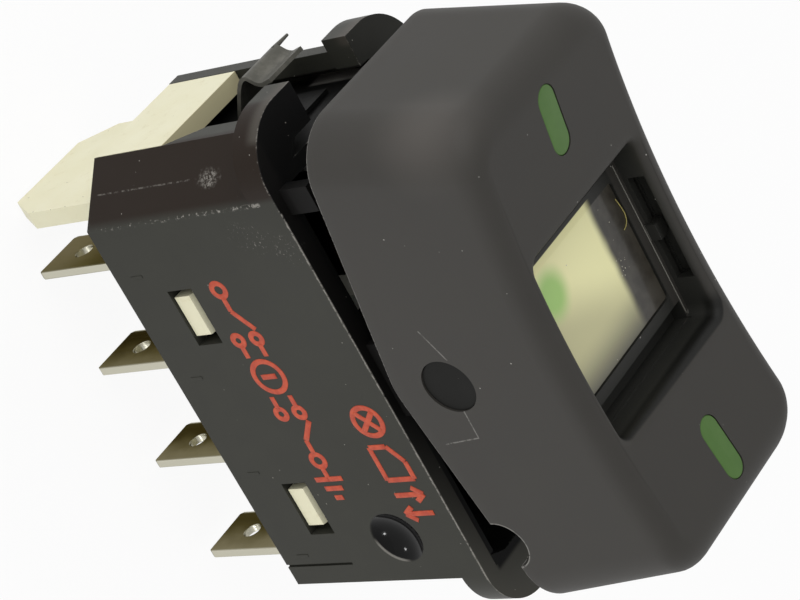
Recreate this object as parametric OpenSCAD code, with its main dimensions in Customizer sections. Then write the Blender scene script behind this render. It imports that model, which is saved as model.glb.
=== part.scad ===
// Panel-mounted momentary rocker switch for a vehicle window.
// X runs along the rocker, Y along its pivot, Z out of the panel.
// Z = 0 is the face of the collar that seats on the panel.

/* [Housing] */
// Width of the housing, along the pivot
body_w = 23.4; // [23.2:0.1:23.8]
// Reach of the housing from the pivot to the keyed end
body_a = 25; // [24.8:0.1:25.4]
// Reach of the housing from the pivot to the plain end
body_b = 23.6; // [23.2:0.1:24]
// Depth of the housing behind the panel
body_d = 21; // [20.6:0.1:22]
// Wall thickness of the housing
wall = 1.8; // [1.6:0.1:2]
// Corner cut at the keyed end, along X
cut_x = 4.7; // [4.4:0.1:5]
// Corner cut at the keyed end, along Y
cut_y = 5.3; // [5:0.1:5.5]
// Corner cut at the keyed end on the far side, along X
cut_far = 3.8; // [3.4:0.1:5]
// Corner cut at the keyed end on the far side, along Y
cut_far_y = 3.9; // [3.6:0.1:4.4]
// Reach of the collar from the pivot to the keyed end
collar_a = 27.3; // [27:0.1:27.8]
// Reach of the collar from the pivot to the plain end
collar_b = 27.8; // [27.4:0.1:28.2]
// Reach of the collar from the middle to its far side
collar_far = 14; // [13:0.1:14.4]
// Thickness of the collar
collar_t = 3; // [2.6:0.1:3.4]
// Corner radius of the collar
collar_r = 6; // [5:0.2:7]

/* [Rocker] */
// Length of the rocker at its rear edge
rocker_l = 52.4; // [52:0.2:53]
// Width of the rocker
rocker_w = 25; // [24.8:0.1:25.2]
// Height of the pivot above the collar
pivot_h = 8.6; // [8.4:0.1:9]
// Diameter of the pivot bosses
pivot_d = 5.4; // [4.6:0.1:5.6]
// Height of the dished front above the pivot
front_h = 12.7; // [12.2:0.1:13]
// Radius of the dished front
dish_r = 120; // [105:1:140]
// Wall of the rocker shell
rocker_wall = 1.6; // [1.5:0.1:1.7]
// Gap between the collar and the middle of the rocker's rear edge
rear_gap = 2.2; // [2:0.1:2.6]
// Slope of the rear edge towards each end, degrees
rear_slope = 9; // [8.5:0.1:10]
// Inward lean of the end faces, degrees
end_lean = 8; // [6:0.5:10]
// Radius of the long front edges
ridge_r = 2.2; // [1.6:0.1:2.6]
// Radius of the end front edges
end_r = 3.2; // [2.4:0.1:4]
// Corner radius seen from the front
plan_r = 5; // [4:0.2:6]

/* [Window] */
// Length of the window in the rocker, along X
window_l = 19; // [18.6:0.1:19.4]
// Width of the window in the rocker
window_w = 19.4; // [19:0.1:19.6]
// Depth from the front to the ledge that takes an icon plate
ledge_d = 3.2; // [2.9:0.1:3.4]
// Length of the light opening inside the ledge
pane_l = 12.8; // [12.4:0.1:13.2]
// Distance of each green bar from the pivot
bar_x = 17.6; // [17.2:0.1:18]
// Length of a green bar
bar_l = 6.6; // [5.6:0.1:7]
// Width of a green bar
bar_w = 2.25; // [1.9:0.05:2.5]

/* [Terminals] */
// Width of a blade
blade_w = 6.3; // [6.1:0.1:6.4]
// Thickness of a blade
blade_t = 0.8; // [0.7:0.1:0.9]
// Length of a blade behind the housing
blade_out = 13.5; // [11:0.5:14]
// Pitch of the blades in a row
blade_pitch = 11.6; // [11.4:0.1:11.7]
// Position of the first blade
blade_first = -14.5; // [-14.9:0.1:-14.3]
// Distance from the middle to the inner edge of a blade
row_in = 2.2; // [2.1:0.1:2.6]

/* [Mechanism] */
// Rocker travel to each side, degrees
travel = 11; // [9:0.5:11]
// Turn of a contact bridge for each degree of the rocker
bridge_ratio = 0.636; // [0.6:0.004:0.636]
// Distance of each plunger from the middle
pole_y = 6.1; // [6:0.1:6.2]
// Diameter of a plunger
plunger_d = 3.1; // [2.9:0.1:3.3]

/* [Clearances] */
// Gap between pieces that move past each other
move_gap = 0.3; // [0.25:0.05:0.35]
// Radial clearance of a running fit
run_fit = 0.05; // [0.03:0.01:0.07]
// Gap between pieces that are fixed together
set_gap = 0.1; // [0.05:0.05:0.15]

/* [Hidden] */
$fn = 64;

// Cutting shapes reach this far past the faces they open
over = 1;
// Gap under a piece that sits on another
seat_gap = 0.05;

// Housing and collar; the plain end leaves room for the last blade
half_w = body_w / 2;
in_w = half_w - wall;
in_a = body_a - wall;
blade_room = 0.4;
last_blade = blade_first + 3 * blade_pitch;
reach_b = max(body_b, last_blade + blade_t / 2 + blade_room + wall);
collar_lip = 2;
collar_end = max(collar_b, reach_b + collar_lip);
// The far lobe at the keyed end stands back from the near one
lobe_back = 0.9;
cut_b = [1.6, 3.4];
rim_z = collar_t;
ledge_over = 1;
ledge_short = 1.2;
ledge_x = [-(body_a - cut_x) - ledge_over, reach_b - cut_b[0] - ledge_short];
ledge_h = 2;
// Bulkhead that closes the mechanism space behind the keyed end
bulk_t = 1.4;
bulk_back = 1.3;
bulk_a = in_a - bulk_back;
bulk_up = 0.2;
// Opening in the keyed end for the base plate and the clip
key_y = [-6.4, 6.3];
key_z = [-12.1, -7.8];
key_near = -4.2;
clip_notch = [-3, 5.9];
clip_notch_b = [-3.8, 5.8];
// Latch windows in both long walls
latch_x = [-9.75, 12.9];
latch_l = 6.2;
latch_h = 3.1;
latch_z = 5.5;
// Latch arms of the base: thickness, room at both sides and the head that fills the window
arm_t = 0.9;
arm_root = 0.5;
latch_side = 0.9;
head_back = 0.3;
head_flat = 1.9;
head_h = 2.7;
// Shallow groove up each long wall, near the plain end
groove_x = 19.7;
groove_w = 0.3;
groove_d = 0.25;
groove_h = 8.6;
// Round dish moulded in the near wall
dish_pos = [16.9, -5.1];
dish_depth = 1.1;
dish_ball = 4.4;

// Pivot stack across the width, from the outside to the middle
pivot_z = rim_z + pivot_h;
rock_in = rocker_w / 2 - rocker_wall;
ear_out = rock_in - move_gap;
ear_t = 1.3;
ear_in = ear_out - ear_t;
ear_r = 4;
boss_root = 0.5;
boss_back = 0.2;
well_out = ear_in - move_gap;
well_t = 0.9;
pane_w = 2 * (well_out - well_t);
// Guide lugs on the rim ledges
lug_x = 20.8;
lug_l = 2.6;
lug_h = 3.2;

// Rocker outline
front_z = pivot_z + front_h;
axis_z = front_z + dish_r;
rear_z = rim_z + rear_gap;
end_x = rocker_l / 2;
end_z = rear_z + end_x * tan(rear_slope);
top_t = 2.2;
// Centre of the end edge round, tangent to the end face and to the dish
lean_t = tan(end_lean);
round_k = end_x - end_r / cos(end_lean) + end_z * lean_t;
round_b = round_k * lean_t + axis_z;
round_c = round_k * round_k + axis_z * axis_z - pow(dish_r + end_r, 2);
round_z = (round_b - sqrt(round_b * round_b - (lean_t * lean_t + 1) * round_c)) / (lean_t * lean_t + 1);
round_x = round_k - round_z * lean_t;
round_to = atan2(axis_z - round_z, -round_x);
// The corner rounds stand this far outside the end and side faces, which keep their own planes
corner_out = 0.02;
// Half-round notch in the rear edge at the plain end
notch_x = 17.9;
notch_r = 2.6;
notch_up = 4.8;
// Side holes and notches run this far past the wall
side_cut = 0.4;

// Window well, light box and pane
ledge_z = front_z - ledge_d;
block_z = pivot_z + 5.8;
web_z = pivot_z + 0.6;
web_t = 1.4;
web_hole = [9, 6.4];
window_r = 1.2;
frame_t = 1.4;
well_drop = 0.5;
gutter_w = 1.5;
gutter_d = 1.5;
gutter_end = 0.6;
slot_l = 11;
slot_h = 2;
slot_d = 1.4;
slot_up = 0.2;
pane_t = 1.1;
pane_drop = 0.2;
pane_top = ledge_z - pane_drop;
box_t = 0.9;
box_hole = [8, 5.8];
// Foot of a green bar under the shell
bar_root = 2;
bar_under = 0.3;
bar_rim = 1.8;
bar_foot = 1.2;

// Contacts, counted down from the collar seat
bridge_travel = travel * bridge_ratio;
base_up = 5.2;
base_top = -(body_d - base_up);
base_t = 5;
strap_z = base_top + seat_gap;
hinge_up = 10;
hinge_z = -(body_d - hinge_up);
bridge_l = 19.2;
bridge_w = 4.4;
bridge_t = 0.8;
valley_up = 1;
valley_z = hinge_z + valley_up;
valley_l = 4.4;
valley_h = 0.85;
tip_x = 8.6;
tip_r = 1.2;
rivet_up = 0.3;
pad_r = 1.5;
pad_side = 1.6;
pad_gap = 0.15;
pad_top = hinge_z - (tip_x + tip_r) * sin(bridge_travel) - pad_gap;
strap_w = 4;
// Edge that a bridge rocks on
edge_h = 0.5;
edge_w = 0.24;
blade_tip = -(body_d + blade_out);
blade_point = [0.3, 0.4];
lock_d = 1.9;
lock_out = 9.6;
lock_z = -body_d - lock_out;

// Key plate of the base: thickness, gap at the rear and tenon inside the wall
key_t = 1.8;
key_back = 0.1;
tenon_in = 1;
tenon_up = 0.2;
// Guard tongue beside the blades
tongue_in = 2;
tongue_t = 1.8;
tongue_y = 7.8;
tongue_root = 1;
tongue_over = 1.2;
tongue_point = [2.6, 3.8];

// Plungers and their springs
sleeve_r = 2.6;
sleeve_z = -2.5;
bore_top = web_z;
bore_r = plunger_d / 2 + run_fit;
tip_ball = plunger_d / 2 - run_fit;
tip_neck = 0.6;
plunger_z = valley_z + 0.8 * move_gap;
plunger_top = 4;
wire_r = 0.22;
spring_r = plunger_d / 2 - 2 * wire_r;
spring_turns = 7;
// Corners of the spring in one turn and round its wire
turn_n = 12;
wire_n = 6;

// Lamp and the strips that feed it
feed_y = 0.7;
feed_gap = 0.4;
feed_w = 2.4;
feed_t = 0.5;
lamp_r = 2.5;
lamp_top = 8;
socket_l = 6.8;
socket_w = 6.2;
socket_h = 6.6;
socket_z = base_top + socket_h;
floor_up = 1.6;
socket_floor = base_top + floor_up;
feed_drop = 1;
foot_l = 5;
foot_w = 4.8;
lamp_z = socket_floor + set_gap;
filter_z = -2;
filter_t = 0.45;

// Clips; the leaf bends round a ridge and a valley to its lip, all counted from the end of the collar
clip_t = 0.4;
clip_w = 5.5;
clip_ridge = [0.8, -4.2];
clip_valley = [-0.95, -2.7];
clip_lip = [-0.5, -1.05];
clip_top = -0.8;
clip_foot = -6.6;
clip_bend = 0.7;
clip_a_y = 1.65;
bend_n = 6;
prong_at = [0.15, -3.9];
prong_l = 2;
prong_r = [0.26, 0.14];
stud_r = 0.8;
stud_z = -3.2;
stud_out = 0.5;

// Outline of the housing in plan, shrunk by a wall thickness
function cut_left(c, w) = 1 + w * (norm([1 / c[0], 1 / c[1]]) - 1 / c[0] - 1 / c[1]);
function tub_outline(w) =
    let (
        a = [cut_x, cut_y] * cut_left([cut_x, cut_y], w),
        f = [cut_far, cut_far_y] * cut_left([cut_far, cut_far_y], w),
        b = cut_b * cut_left(cut_b, w),
        xa = -(body_a - w),
        xb = reach_b - w,
        y = half_w - w
    )
    [[xa, -(y - a[1])], [xa + a[0], -y], [xb - b[0], -y], [xb, -(y - b[1])],
        [xb, y - b[1]], [xb - b[0], y], [xa + f[0], y], [xa, y - f[1]]];

// Outline of a bent strip of thickness t along the centre line p
function unit(v) = v / norm(v);
function turned(v) = [-v[1], v[0]];
function mitre(p, i) =
    let (
        n = len(p) - 1,
        a = unit(i > 0 ? p[i] - p[i - 1] : p[1] - p[0]),
        b = unit(i < n ? p[i + 1] - p[i] : p[n] - p[n - 1]),
        m = unit(turned(a) + turned(b))
    )
    m / (m * turned(a));
function strip(p, t) =
    let (n = len(p) - 1)
    concat([for (i = [0:n]) p[i] + mitre(p, i) * t / 2],
        [for (i = [n:-1:0]) p[i] - mitre(p, i) * t / 2]);

// Smooth line from the first to the last point of p, n steps round each corner between
function eased(p, n) =
    concat([for (i = [1:len(p) - 2], j = [0:n - 1])
        let (t = j / n, a = (p[i - 1] + p[i]) / 2, b = (p[i] + p[i + 1]) / 2)
        (1 - t) * (1 - t) * a + 2 * t * (1 - t) * p[i] + t * t * b], [p[len(p) - 1]]);

// A profile drawn in X and Z, extruded along Y from y0 to y1
module along_y(y0, y1) {
    translate([0, y1, 0])
        rotate([90, 0, 0])
            linear_extrude(y1 - y0)
                children();
}

// A profile drawn in Y and Z, extruded along X from x0 to x1
module along_x(x0, x1) {
    translate([x0, 0, 0])
        rotate([90, 0, 90])
            linear_extrude(x1 - x0)
                children();
}

// A box between two corners
module block(lo, hi) {
    translate(lo)
        cube(hi - lo);
}

// A round bar along Y
module rod_y(pos, r, y0, y1) {
    translate([pos[0], y1, pos[1]])
        rotate([90, 0, 0])
            cylinder(r = r, h = y1 - y0);
}

// A plate with round corners between two corners in plan
module round_plate(lo, hi, r, z0, z1) {
    block([lo[0] + r, lo[1], z0], [hi[0] - r, hi[1], z1]);
    block([lo[0], lo[1] + r, z0], [hi[0], hi[1] - r, z1]);
    for (x = [lo[0] + r, hi[0] - r])
        for (y = [lo[1] + r, hi[1] - r])
            translate([x, y, z0])
                cylinder(r = r, h = z1 - z0);
}

// A bar with round ends in plan
module round_bar(l, w, z0, z1) {
    block([-l / 2 + w / 2, -w / 2, z0], [l / 2 - w / 2, w / 2, z1]);
    for (x = [-1, 1])
        translate([x * (l - w) / 2, 0, z0])
            cylinder(d = w, h = z1 - z0);
}

// The layer of the rocker between two depths below its dished front
module dished_layer(d0, d1, w, r) {
    translate([0, 0, axis_z])
        rotate([90, 0, 0])
            rotate_extrude($fn = 240) {
                translate([dish_r + d0 + r, -w / 2])
                    square([d1 - d0 - r, w]);
                translate([dish_r + d0, -w / 2 + r])
                    square([d1 - d0, w - 2 * r]);
                if (r > 0)
                    for (y = [-1, 1])
                        translate([dish_r + d0 + r, y * (w / 2 - r)])
                            circle(r, $fn = 48);
            }
}

// Housing: tub, collar with rim ledges, pivot ears and bosses, bulkhead and clip studs
module housing() {
    color([0.09, 0.09, 0.085]) {
        difference() {
            union() {
                translate([0, 0, -body_d])
                    linear_extrude(body_d)
                        polygon(tub_outline(0));
                collar();
                for (s = [-1, 1])
                    pivot_ear(s);
            }
            translate([0, 0, -body_d - over])
                linear_extrude(body_d + rim_z + 2 * over)
                    polygon(tub_outline(wall));
            key_opening();
            block([reach_b, clip_notch_b[0], -over], [collar_end + over, clip_notch_b[1], rim_z + over]);
            latch_windows();
            for (s = [-1, 1])
                translate([groove_x, s * half_w, -body_d])
                    cube([groove_w, 2 * groove_d, 2 * groove_h], center = true);
            translate([dish_pos[0], -half_w - dish_ball + dish_depth, dish_pos[1]])
                sphere(dish_ball, $fn = 72);
        }
        for (s = [-1, 1])
            rim_ledge(s);
        difference() {
            translate([0, 0, base_top + bulk_up])
                linear_extrude(rim_z - base_top - bulk_up)
                    intersection() {
                        polygon(tub_outline(wall / 2));
                        translate([-bulk_a, -half_w])
                            square([bulk_t, body_w]);
                    }
            key_opening();
        }
        translate([-bulk_a, clip_a_y, stud_z])
            rotate([0, -90, 0])
                cylinder(r = stud_r, h = clip_t + stud_out);
        translate([reach_b, 0, stud_z])
            rotate([0, 90, 0])
                cylinder(r = stud_r, h = clip_t + stud_out);
    }
}

// Collar on the panel: flush with the near wall, with a lip along the far one
module collar() {
    round_plate([-collar_a, -half_w], [collar_end, clip_notch[1]], collar_r, 0, rim_z);
    round_plate([-collar_a + lobe_back, clip_notch[0]], [collar_end, collar_far], collar_r, 0, rim_z);
}

// Ear rising inside the rocker wall, with the boss that carries the rocker
module pivot_ear(s) {
    y = s > 0 ? [ear_in, ear_out] : [-ear_out, -ear_in];
    root = ear_out - boss_root;
    tip = rocker_w / 2 - boss_back;
    b = s > 0 ? [root, tip] : [-tip, -root];
    block([-ear_r, y[0], rim_z - ledge_h], [ear_r, y[1], pivot_z]);
    rod_y([0, pivot_z], ear_r, y[0], y[1]);
    rod_y([0, pivot_z], pivot_d / 2, b[0], b[1]);
}

// Ledge that widens the rim along each long side, with a guide lug inside the rocker
module rim_ledge(s) {
    y = s > 0 ? [ear_in, ear_out] : [-ear_out, -ear_in];
    block([ledge_x[0], y[0], rim_z - ledge_h], [ledge_x[1], y[1], rim_z]);
    block([-lug_x, y[0], rim_z - ledge_h], [-lug_x + lug_l, y[1], rim_z + lug_h]);
}

// Opening in the keyed end: wide for the base plate, narrow for the clip
module key_opening() {
    along_x(-collar_a - over, -in_a)
        polygon([[key_y[0], -body_d - over], [key_y[0], key_z[0]], [key_near, key_z[1]],
            [key_near, 0], [clip_notch[0], 0], [clip_notch[0], rim_z + over],
            [clip_notch[1], rim_z + over], [clip_notch[1], 0], [key_y[1], 0], [key_y[1], -body_d - over]]);
}

// Windows in both long walls that show the latches of the base
module latch_windows() {
    for (x = latch_x)
        for (s = [-1, 1])
            translate([x, s * half_w, -body_d + latch_z + latch_h / 2])
                cube([latch_l, 2 * wall + 2 * set_gap, latch_h], center = true);
}

// Terminal base: rear plate with blade slots, latches, key plate and guard tongue
module terminal_base() {
    color([0.92, 0.89, 0.76]) {
        difference() {
            translate([0, 0, base_top - base_t])
                linear_extrude(base_t)
                    polygon(tub_outline(wall + set_gap));
            for (i = [0:3])
                for (s = [-1, 1])
                    blade_slot(blade_first + i * blade_pitch, s);
        }
        for (x = latch_x)
            for (s = [-1, 1])
                base_latch(x, s);
        key_plate();
        guard_tongue();
    }
}

module blade_slot(x, s) {
    y0 = s > 0 ? row_in : -row_in - blade_w;
    block([x - blade_t / 2 - set_gap / 2, y0 - set_gap / 2, base_top - base_t - over],
        [x + blade_t / 2 + set_gap / 2, y0 + blade_w + set_gap / 2, base_top + over]);
}

// Latch arm with a barbed head that shows in the wall window
module base_latch(x, s) {
    arm = in_w - set_gap;
    head_z = -body_d + latch_z + set_gap;
    mirror([0, s > 0 ? 0 : 1, 0])
        along_x(x - latch_l / 2 + latch_side, x + latch_l / 2 - latch_side)
            polygon([[arm - arm_t, base_top - arm_root], [arm, base_top - arm_root], [arm, head_z],
                [half_w - head_back, head_z], [half_w - head_back, head_z + head_flat],
                [arm, head_z + head_h], [arm - arm_t, head_z + head_h]]);
}

// Plate that closes the rear of the keyed end, with a tenon behind the wall
module key_plate() {
    y = [key_y[0] + set_gap, key_y[1] - set_gap];
    z = -body_d + key_back;
    block([-body_a, y[0], z], [-body_a + key_t, y[1], key_z[0]]);
    block([-body_a + key_t / 2, y[0] + tenon_in, z + tenon_up],
        [-in_a + tenon_in, y[1] - tenon_in, base_top]);
}

// Guard tongue beside the blades, as long as they are
module guard_tongue() {
    x = -in_a + tongue_in;
    y = tongue_y;
    root = base_top - base_t + tongue_root;
    tip = blade_tip - tongue_over;
    along_x(x, x + tongue_t)
        polygon([[-y, root], [-y, tip + tongue_point[1]], [-y + tongue_point[0], tip],
            [y - tongue_point[0], tip], [y, tip + tongue_point[1]], [y, root]]);
}

// Side profile of the rocker without its dish
module rocker_profile() {
    half = concat([[end_x, end_z]],
        [for (i = [0:10]) let (a = end_lean + (round_to - end_lean) * i / 10)
            [round_x + end_r * cos(a), round_z + end_r * sin(a)]]);
    n = len(half) - 1;
    polygon(concat([[0, rear_z]], half, [[0, half[n][1] + 2]],
        [for (i = [n:-1:0]) [-half[i][0], half[i][1]]]));
}

module rocker_solid() {
    intersection() {
        along_y(-rocker_w, rocker_w)
            rocker_profile();
        dished_layer(0, 40, rocker_w, ridge_r);
        leaning_plate(end_x + corner_out, rocker_w + 2 * corner_out, plan_r);
    }
}

// Prism of width w that leans with the end faces, with round corners of radius r
module leaning_plate(x, w, r) {
    low = end_z - 12;
    high = end_z + 24;
    axis_x = x - r / cos(end_lean);
    along_y(-w / 2 + r, w / 2 - r)
        leaning_outline(x, low, high);
    along_y(-w / 2, w / 2)
        leaning_outline(axis_x, low, high);
    for (i = [-1, 1])
        for (j = [-1, 1])
            translate([i * axis_x, j * (w / 2 - r), end_z])
                rotate([0, -i * end_lean, 0])
                    translate([0, 0, low - end_z - 2])
                        cylinder(r = r, h = high - low + 4);
}

module leaning_outline(x, low, high) {
    polygon([for (p = [[-1, low], [1, low], [1, high], [-1, high]])
        [p[0] * (x - (p[1] - end_z) * lean_t), p[1]]]);
}

// Space inside the rocker shell
module rocker_hollow() {
    intersection() {
        dished_layer(top_t, 44, 2 * rock_in, 0);
        leaning_plate(end_x - rocker_wall / cos(end_lean), 2 * rock_in, plan_r - rocker_wall);
    }
}

// Rocker: shell, window well with its ledge, and two plunger sleeves
module rocker() {
    color([0.24, 0.235, 0.225])
        difference() {
            union() {
                difference() {
                    rocker_solid();
                    rocker_hollow();
                }
                intersection() {
                    rocker_solid();
                    block([-window_l / 2 - frame_t, -rock_in - set_gap, block_z],
                        [window_l / 2 + frame_t, rock_in + set_gap, axis_z]);
                }
                block([-pane_l / 2 - well_t, -well_out, web_z],
                    [pane_l / 2 + well_t, well_out, ledge_z - well_drop]);
                for (s = [-1, 1])
                    translate([0, s * pole_y, sleeve_z])
                        cylinder(r = sleeve_r, h = web_z + web_t - sleeve_z);
            }
            window_cuts();
            for (s = [-1, 1]) {
                translate([0, s * pole_y, sleeve_z - over])
                    cylinder(r = bore_r, h = bore_top - sleeve_z + over);
                translate([s * bar_x, 0, 0])
                    round_bar(bar_l, bar_w, ledge_z - bar_root, axis_z);
            }
            rod_y([0, pivot_z], pivot_d / 2 + run_fit, -rocker_w, -rock_in + side_cut);
            rod_y([0, pivot_z], pivot_d / 2 + run_fit, rock_in - side_cut, rocker_w);
            rod_y([notch_x, rim_z + notch_up], notch_r, -rocker_w, -rock_in + side_cut);
            rod_y([notch_x, rim_z + notch_up], notch_r, rock_in - side_cut, rocker_w);
        }
}

// Window recess, gutters, snap slots and light opening
module window_cuts() {
    size = [window_l, window_w];
    round_plate(-size / 2, size / 2, window_r, ledge_z, axis_z);
    for (s = [-1, 1]) {
        translate([s * (window_l - gutter_w) / 2, 0, 0])
            block([-gutter_w / 2, -window_w / 2 + gutter_end, ledge_z - gutter_d],
                [gutter_w / 2, window_w / 2 - gutter_end, ledge_z + over]);
        translate([0, s * window_w / 2, 0])
            block([-slot_l / 2, -slot_d, ledge_z + slot_up],
                [slot_l / 2, slot_d, ledge_z + slot_up + slot_h]);
    }
    block([-pane_l / 2, -pane_w / 2, web_z + web_t], [pane_l / 2, pane_w / 2, ledge_z + over]);
    block([-web_hole[0] / 2, -web_hole[1] / 2, web_z - over],
        [web_hole[0] / 2, web_hole[1] / 2, web_z + web_t + over]);
}

// Cream light box in the window well
module light_box() {
    x = pane_l / 2 - set_gap;
    y = pane_w / 2 - set_gap;
    z = [web_z + web_t + seat_gap, pane_top - pane_t - seat_gap];
    color([0.92, 0.89, 0.76])
        difference() {
            block([-x, -y, z[0]], [x, y, z[1]]);
            block([-x + box_t, -y + box_t, z[0] + box_t], [x - box_t, y - box_t, z[1] + over]);
            block([-box_hole[0] / 2, -box_hole[1] / 2, z[0] - over],
                [box_hole[0] / 2, box_hole[1] / 2, z[0] + box_t + over]);
        }
}

// Frosted pane on the light box
module diffuser() {
    x = pane_l / 2 - set_gap;
    y = pane_w / 2 - set_gap;
    color([0.86, 0.84, 0.66])
        block([-x, -y, pane_top - pane_t], [x, y, pane_top]);
}

// Green light bar flush with the front, with a foot under the shell
module lens_bar(s) {
    color([0.29, 0.45, 0.24]) {
        intersection() {
            translate([s * bar_x, 0, 0])
                round_bar(bar_l - set_gap, bar_w - set_gap, ledge_z - bar_root, axis_z);
            dished_layer(0, top_t + bar_under, 3 * bar_w, 0);
        }
        intersection() {
            translate([s * bar_x, 0, 0])
                round_bar(bar_l + bar_rim, bar_w + bar_rim, ledge_z - 2 * bar_root, axis_z);
            dished_layer(top_t + set_gap / 2, top_t + bar_foot, 4 * bar_w, 0);
        }
    }
}

module lens_a() {
    lens_bar(-1);
}

module lens_b() {
    lens_bar(1);
}

// Spring-loaded plunger: a round pin with a ball tip
module plunger(s) {
    color([0.93, 0.92, 0.88])
        translate([0, s * pole_y, plunger_z])
            rotate_extrude($fn = 48)
                intersection() {
                    union() {
                        translate([0, tip_ball])
                            circle(tip_ball, $fn = 48);
                        translate([0, tip_ball])
                            square([tip_ball, 2 * tip_neck]);
                        translate([0, tip_ball + tip_neck])
                            square([plunger_d / 2, plunger_top - plunger_z - tip_ball - tip_neck]);
                    }
                    square([plunger_d, plunger_top - plunger_z]);
                }
}

module plunger_near() {
    plunger(-1);
}

module plunger_far() {
    plunger(1);
}

// Coil spring between the plunger and the closed end of its bore
module plunger_spring(s) {
    z0 = plunger_top + wire_r + seat_gap;
    z1 = bore_top - wire_r - seat_gap;
    n = turn_n * spring_turns;
    k = wire_n;
    points = [for (i = [0:n]) let (a = 360 * i / turn_n) for (j = [0:k - 1]) let (b = 360 * j / k)
        [(spring_r + wire_r * cos(b)) * cos(a), (spring_r + wire_r * cos(b)) * sin(a),
            z0 + (z1 - z0) * i / n + wire_r * sin(b)]];
    sides = [for (i = [0:n - 1]) for (j = [0:k - 1])
        [i * k + j, i * k + (j + 1) % k, (i + 1) * k + (j + 1) % k, (i + 1) * k + j]];
    ends = [[for (j = [k - 1:-1:0]) j], [for (j = [0:k - 1]) n * k + j]];
    color([0.7, 0.7, 0.72])
        translate([0, s * pole_y, 0])
            polyhedron(points, concat(sides, ends));
}

module spring_near() {
    plunger_spring(-1);
}

module spring_far() {
    plunger_spring(1);
}

// See-saw contact bridge with a shallow valley for the plunger and two riveted tips
module bridge(s) {
    x = bridge_l / 2;
    hi = valley_z + valley_h;
    color([0.72, 0.55, 0.32])
        translate([0, s * pole_y, 0]) {
            along_y(-bridge_w / 2, bridge_w / 2)
                polygon([[-x, hi], [-valley_l, hi], [0, valley_z], [valley_l, hi], [x, hi],
                    [x, hi - bridge_t], [valley_l, hi - bridge_t], [0, valley_z - bridge_t],
                    [-valley_l, hi - bridge_t], [-x, hi - bridge_t]]);
            for (k = [-1, 1])
                translate([k * tip_x, 0, hinge_z])
                    cylinder(r = tip_r, h = hi - hinge_z + rivet_up, $fn = 32);
        }
}

module bridge_near() {
    bridge(-1);
}

module bridge_far() {
    bridge(1);
}

// Flat blade with a chamfered tip and a lock hole, up to the inner strap
module blade(x, s) {
    y0 = row_in;
    y1 = row_in + blade_w;
    mirror([0, s > 0 ? 0 : 1, 0])
        difference() {
            along_x(x - blade_t / 2, x + blade_t / 2)
                polygon([[y0, strap_z + blade_t], [y0, blade_tip + blade_point[1]],
                    [y0 + blade_point[0], blade_tip], [y1 - blade_point[0], blade_tip],
                    [y1, blade_tip + blade_point[1]], [y1, strap_z + blade_t]]);
            translate([x - blade_t, row_in + blade_w / 2, lock_z])
                rotate([0, 90, 0])
                    cylinder(d = lock_d, h = 2 * blade_t);
        }
}

// Inner strap lying on the base from x0 to x1
module strap(x0, x1, y0, y1) {
    block([x0, y0, strap_z], [x1, y1, strap_z + blade_t]);
}

// Side terminal with a fixed contact pad under one end of the bridge
module contact(i, s) {
    x = blade_first + i * blade_pitch;
    p = (i < 1 ? -1 : 1) * tip_x;
    color([0.78, 0.76, 0.7]) {
        blade(x, s);
        strap(min(x - blade_t / 2, p - pad_side), max(x + blade_t / 2, p + pad_side),
            s * pole_y - strap_w / 2, s * pole_y + strap_w / 2);
        translate([p, s * pole_y, strap_z])
            cylinder(r = pad_r, h = pad_top - strap_z, $fn = 32);
    }
}

// Middle terminal with the edge that the bridge rocks on
module fulcrum(s) {
    x = blade_first + blade_pitch;
    color([0.78, 0.76, 0.7]) {
        blade(x, s);
        strap(x - blade_t / 2, blade_t / 2, s * pole_y - strap_w / 2, s * pole_y + strap_w / 2);
        along_y(s * pole_y - strap_w / 2, s * pole_y + strap_w / 2)
            polygon([[-blade_t / 2, strap_z], [blade_t / 2, strap_z], [blade_t / 2, hinge_z - edge_h],
                [edge_w / 2, hinge_z], [-edge_w / 2, hinge_z], [-blade_t / 2, hinge_z - edge_h]]);
    }
}

// End terminal with a strip that feeds the lamp
module lamp_feed(s) {
    x = last_blade;
    x0 = socket_l / 2 + set_gap;
    y = [feed_y, row_in - feed_gap];
    color([0.78, 0.76, 0.7]) {
        blade(x, s);
        mirror([0, s > 0 ? 0 : 1, 0]) {
            strap(x0, x + blade_t / 2, y[0], y[1]);
            strap(x - feed_w, x + blade_t / 2, y[0], row_in + feed_gap);
            block([x0, y[0], strap_z], [x0 + feed_t, y[1], socket_z - feed_drop]);
        }
    }
}

module contact_near_a() {
    contact(0, -1);
}

module fulcrum_near() {
    fulcrum(-1);
}

module contact_near_b() {
    contact(2, -1);
}

module lamp_feed_near() {
    lamp_feed(-1);
}

module contact_far_a() {
    contact(0, 1);
}

module fulcrum_far() {
    fulcrum(1);
}

module contact_far_b() {
    contact(2, 1);
}

module lamp_feed_far() {
    lamp_feed(1);
}

// Socket that holds the lamp upright on the base
module lamp_socket() {
    color([0.88, 0.87, 0.82])
        difference() {
            union() {
                block([-foot_l / 2, -foot_w / 2, strap_z], [foot_l / 2, foot_w / 2, socket_floor]);
                block([-socket_l / 2, -socket_w / 2, strap_z + blade_t + set_gap],
                    [socket_l / 2, socket_w / 2, socket_z]);
            }
            translate([0, 0, socket_floor])
                cylinder(r = lamp_r + set_gap / 2, h = lamp_top);
        }
}

// Capless lamp
module lamp() {
    color([0.85, 0.88, 0.9])
        translate([0, 0, lamp_z])
            rotate_extrude($fn = 48)
                domed_half(lamp_r, lamp_top - lamp_z - lamp_r);
}

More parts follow.
